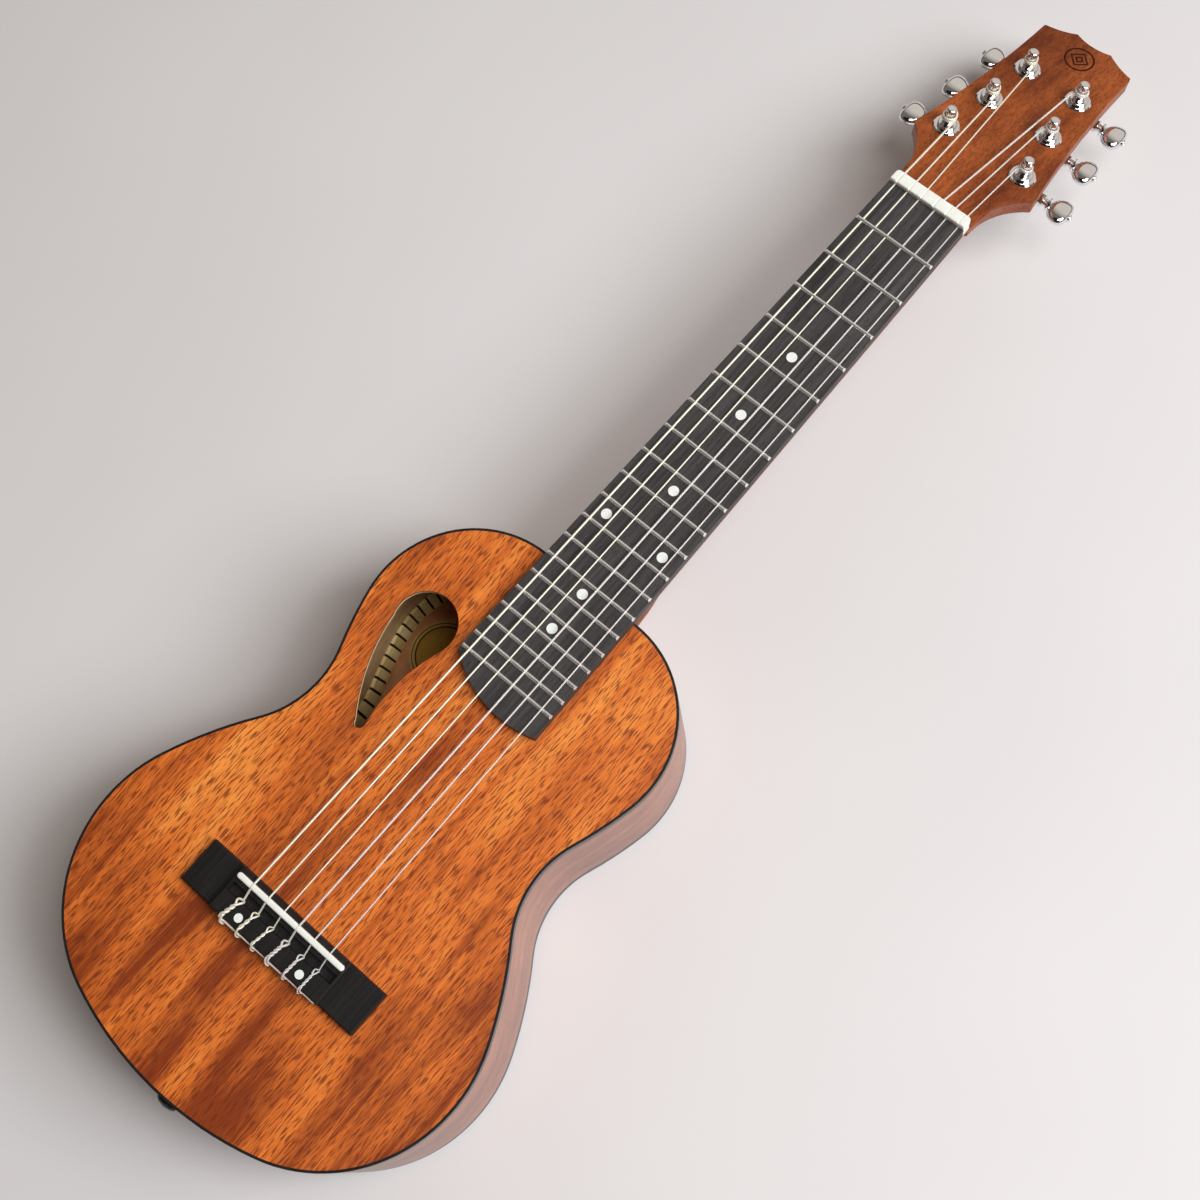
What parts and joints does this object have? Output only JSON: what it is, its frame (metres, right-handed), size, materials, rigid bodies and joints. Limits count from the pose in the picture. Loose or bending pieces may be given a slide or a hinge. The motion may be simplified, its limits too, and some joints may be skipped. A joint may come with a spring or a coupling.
{
  "type": "travel guitar",
  "caption": "Small six-string classical-type travel guitar with a cutout teardrop sound hole, tied bridge and sealed tuning machines",
  "frame": {"origin": "under the middle of the whole instrument's bounding box, on the plane its flat back rests on", "axes": "+Y along the neck toward the headstock, +Z out of the soundboard, +X to the treble side"},
  "size_m": [0.207, 0.671, 0.0828],
  "materials": {
    "top_wood": "satin open-pore mahogany",
    "body_wood": "satin mahogany",
    "inner_wood": "bare softwood",
    "lining_wood": "bare light wood",
    "neck_wood": "satin",
    "veneer_wood": "satin",
    "dark_wood": "matt, fine grain",
    "black_plastic": "gloss",
    "nut_bone": "polished",
    "pearl": "polished",
    "nylon": "smooth translucent",
    "wound_string": "silvered winding",
    "fret_wire": "polished nickel silver",
    "tuner_chrome": "polished",
    "steel_screw": "plain",
    "label_paper": "matt"
  },
  "bodies": {
    "root": {"soundboard": "top_wood", "back_plate": "body_wood", "side_bass": "body_wood", "side_treble": "body_wood", "top_binding": "black_plastic", "back_binding": "black_plastic", "neck_block": "inner_wood", "tail_block": "inner_wood", "top_linings": "lining_wood", "back_linings": "lining_wood", "upper_top_brace": "inner_wood", "lower_top_brace": "inner_wood", "bridge_plate": "inner_wood", "fan_braces": "inner_wood", "back_braces": "inner_wood", "back_seam_strip": "inner_wood", "label": "label_paper", "neck": "neck_wood", "heel_cap": "black_plastic", "headstock_veneer": "veneer_wood", "fingerboard": "dark_wood", "frets": "fret_wire", "position_dots": "pearl", "nut": "nut_bone", "bridge": "dark_wood", "saddle": "nut_bone", "bridge_dots": "pearl", "strap_button": "black_plastic", "strap_button_screw": "steel_screw", "tuner_housings": "tuner_chrome", "tuner_bushings": "tuner_chrome", "tuner_washers": "tuner_chrome", "tuner_screws": "tuner_chrome", "string_1": "nylon", "string_2": "nylon", "string_3": "nylon", "string_4": "wound_string", "string_5": "wound_string", "string_6": "wound_string"},
    "post_1": {"tuner_post_1": "tuner_chrome"},
    "key_1": {"tuner_worm_1": "tuner_chrome", "tuner_button_1": "tuner_chrome"},
    "post_2": {"tuner_post_2": "tuner_chrome"},
    "key_2": {"tuner_worm_2": "tuner_chrome", "tuner_button_2": "tuner_chrome"},
    "post_3": {"tuner_post_3": "tuner_chrome"},
    "key_3": {"tuner_worm_3": "tuner_chrome", "tuner_button_3": "tuner_chrome"},
    "post_4": {"tuner_post_4": "tuner_chrome"},
    "key_4": {"tuner_worm_4": "tuner_chrome", "tuner_button_4": "tuner_chrome"},
    "post_5": {"tuner_post_5": "tuner_chrome"},
    "key_5": {"tuner_worm_5": "tuner_chrome", "tuner_button_5": "tuner_chrome"},
    "post_6": {"tuner_post_6": "tuner_chrome"},
    "key_6": {"tuner_worm_6": "tuner_chrome", "tuner_button_6": "tuner_chrome"}
  },
  "joints": [
    {"name": "key_1_turn", "type": "hinge", "parent": "root", "child": "key_1", "pos_m": [0.0324, 0.24608, 0.04783], "axis": [1, 0, 0], "continuous": true},
    {"name": "post_1_turn", "type": "hinge", "parent": "root", "child": "post_1", "pos_m": [0.0224, 0.24182, 0.06383], "axis": [0, 0.2419, 0.9703], "continuous": true},
    {"name": "key_2_turn", "type": "hinge", "parent": "root", "child": "key_2", "pos_m": [0.0274, 0.27451, 0.04074], "axis": [1, 0, 0], "continuous": true},
    {"name": "post_2_turn", "type": "hinge", "parent": "root", "child": "post_2", "pos_m": [0.0174, 0.27025, 0.05674], "axis": [0, 0.2419, 0.9703], "continuous": true},
    {"name": "key_3_turn", "type": "hinge", "parent": "root", "child": "key_3", "pos_m": [0.025, 0.30303, 0.03363], "axis": [1, 0, 0], "continuous": true},
    {"name": "post_3_turn", "type": "hinge", "parent": "root", "child": "post_3", "pos_m": [0.015, 0.29878, 0.04963], "axis": [0, 0.2419, 0.9703], "continuous": true},
    {"name": "key_4_turn", "type": "hinge", "parent": "root", "child": "key_4", "pos_m": [-0.025, 0.30303, 0.03363], "axis": [-1, 0, 0], "continuous": true},
    {"name": "post_4_turn", "type": "hinge", "parent": "root", "child": "post_4", "pos_m": [-0.015, 0.29878, 0.04963], "axis": [0, 0.2419, 0.9703], "continuous": true},
    {"name": "key_5_turn", "type": "hinge", "parent": "root", "child": "key_5", "pos_m": [-0.0274, 0.27451, 0.04074], "axis": [-1, 0, 0], "continuous": true},
    {"name": "post_5_turn", "type": "hinge", "parent": "root", "child": "post_5", "pos_m": [-0.0174, 0.27025, 0.05674], "axis": [0, 0.2419, 0.9703], "continuous": true},
    {"name": "key_6_turn", "type": "hinge", "parent": "root", "child": "key_6", "pos_m": [-0.0324, 0.24608, 0.04783], "axis": [-1, 0, 0], "continuous": true},
    {"name": "post_6_turn", "type": "hinge", "parent": "root", "child": "post_6", "pos_m": [-0.0224, 0.24182, 0.06383], "axis": [0, 0.2419, 0.9703], "continuous": true}
  ],
  "couplings": [
    {"joint": "post_1_turn", "follows": "key_1_turn", "ratio": 0.071429},
    {"joint": "post_2_turn", "follows": "key_2_turn", "ratio": 0.071429},
    {"joint": "post_3_turn", "follows": "key_3_turn", "ratio": 0.071429},
    {"joint": "post_4_turn", "follows": "key_4_turn", "ratio": 0.071429},
    {"joint": "post_5_turn", "follows": "key_5_turn", "ratio": 0.071429},
    {"joint": "post_6_turn", "follows": "key_6_turn", "ratio": 0.071429}
  ]
}
